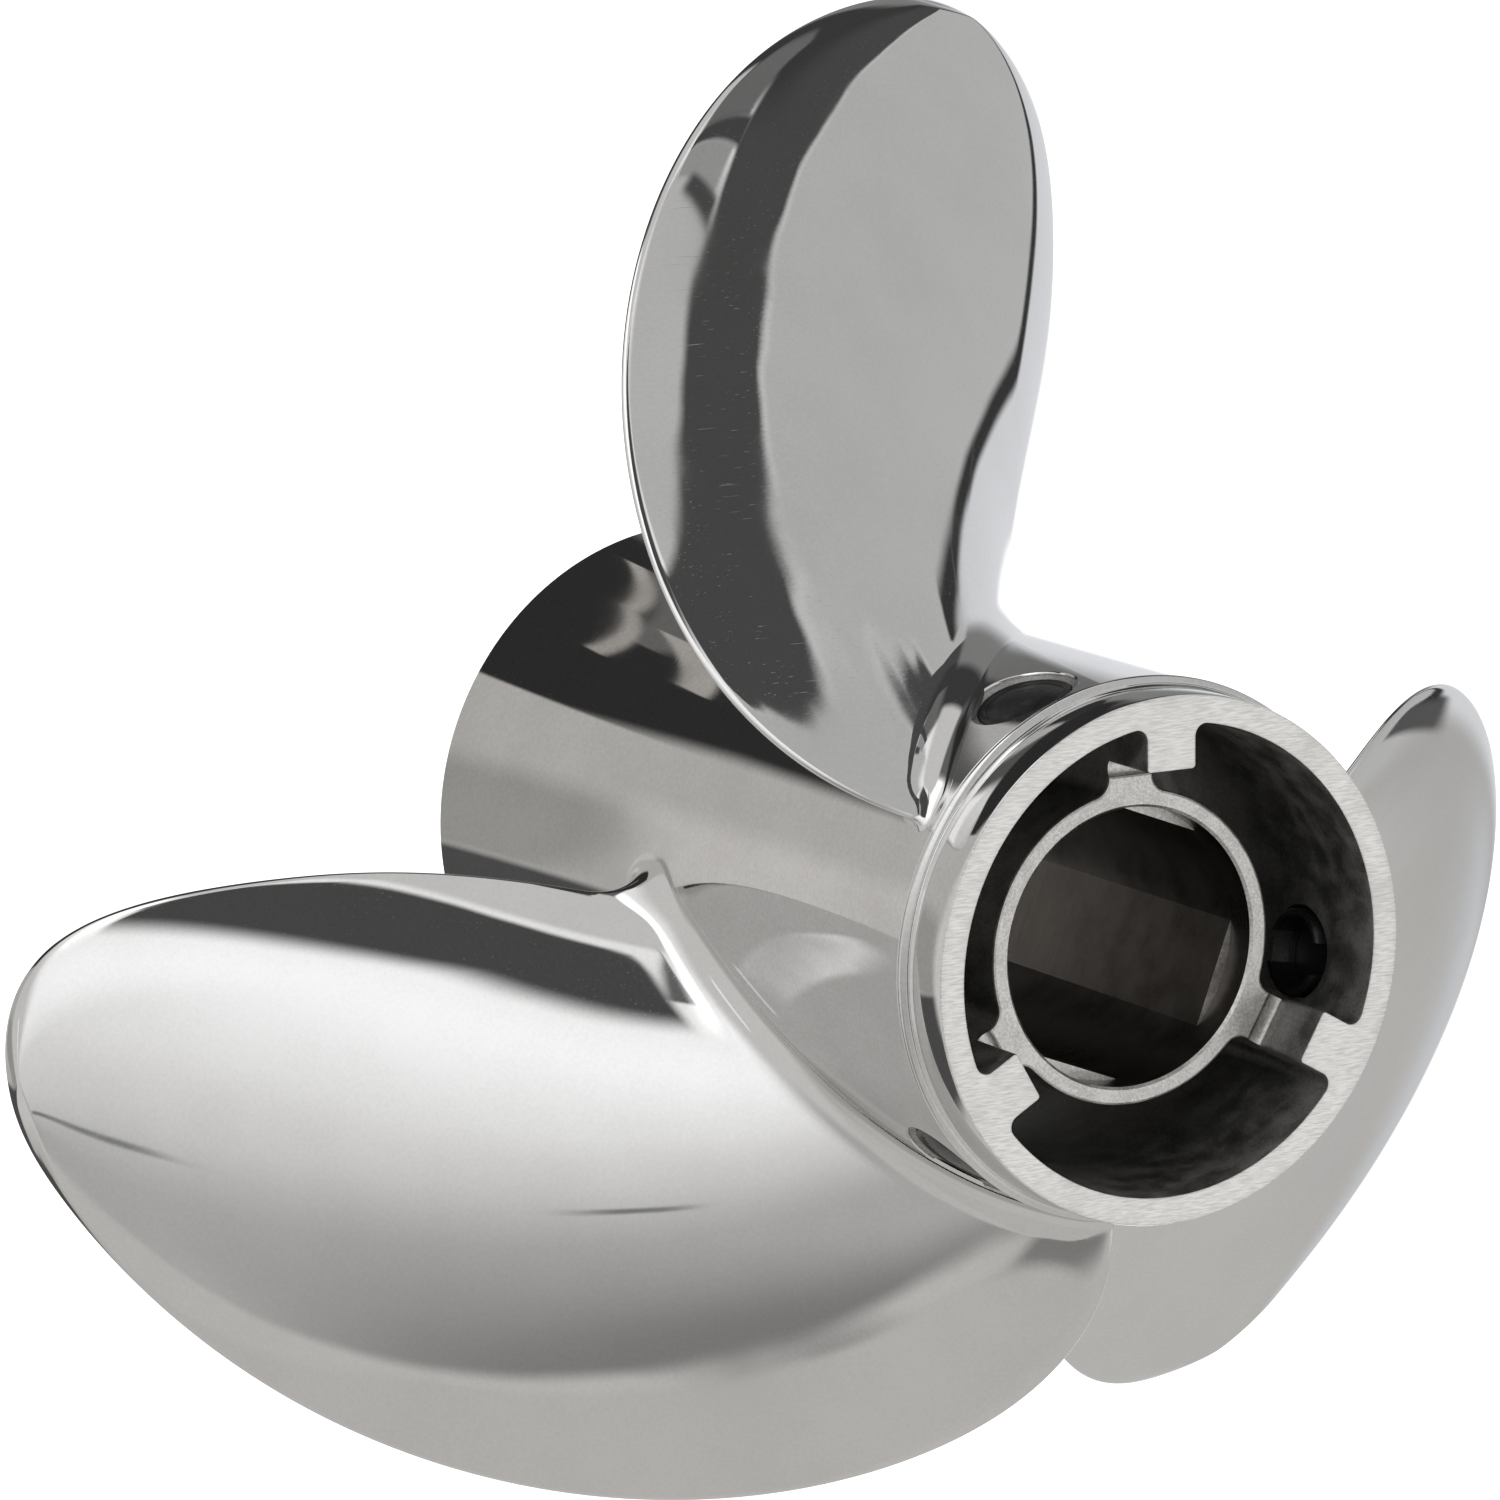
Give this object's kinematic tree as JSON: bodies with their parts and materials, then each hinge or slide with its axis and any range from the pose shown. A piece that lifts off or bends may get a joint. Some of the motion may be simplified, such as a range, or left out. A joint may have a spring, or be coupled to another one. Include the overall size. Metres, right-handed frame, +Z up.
{
  "type": "boat propeller",
  "caption": "Right-hand stainless steel boat propeller: raked, cupped blades on a hub that exhausts through its rear, with a flat-sided drive bore and snap-in vent plugs.",
  "frame": {"origin": "on the hub's axis, in the plane of the machined front face", "axes": "-Y forward along the hub's axis towards the gearcase, +Y aft, +Z up through the middle of the first rib and lug, +X to the right as seen from the front"},
  "size_m": [0.359, 0.2151, 0.3437],
  "materials": {
    "polished_steel": "mirror-polished stainless steel with faint polishing lines",
    "machined_steel": "face-machined stainless steel with short scratches",
    "cast_steel": "blasted and darkened casting surface",
    "black_plastic": "satin moulded plastic"
  },
  "bodies": {
    "propeller": {"front_collar": "machined_steel", "hub_barrel": "polished_steel", "diffuser_ring": "polished_steel", "hub_tube": "cast_steel", "rib_1": "cast_steel", "rib_2": "cast_steel", "rib_3": "cast_steel", "lug_1": "machined_steel", "lug_2": "machined_steel", "lug_3": "machined_steel", "blade_1": "polished_steel", "blade_2": "polished_steel", "blade_3": "polished_steel"},
    "vent_plug_1": {"vent_plug_1": "black_plastic"},
    "vent_plug_2": {"vent_plug_2": "black_plastic"},
    "vent_plug_3": {"vent_plug_3": "black_plastic"}
  },
  "joints": [
    {"name": "vent_plug_1_pull", "type": "slide", "parent": "propeller", "child": "vent_plug_1", "axis": [-0.342, 0, 0.9397], "range_m": [0, 0.03]},
    {"name": "vent_plug_2_pull", "type": "slide", "parent": "propeller", "child": "vent_plug_2", "axis": [-0.6428, 0, -0.766], "range_m": [0, 0.03]},
    {"name": "vent_plug_3_pull", "type": "slide", "parent": "propeller", "child": "vent_plug_3", "axis": [0.9848, 0, -0.1736], "range_m": [0, 0.03]}
  ]
}
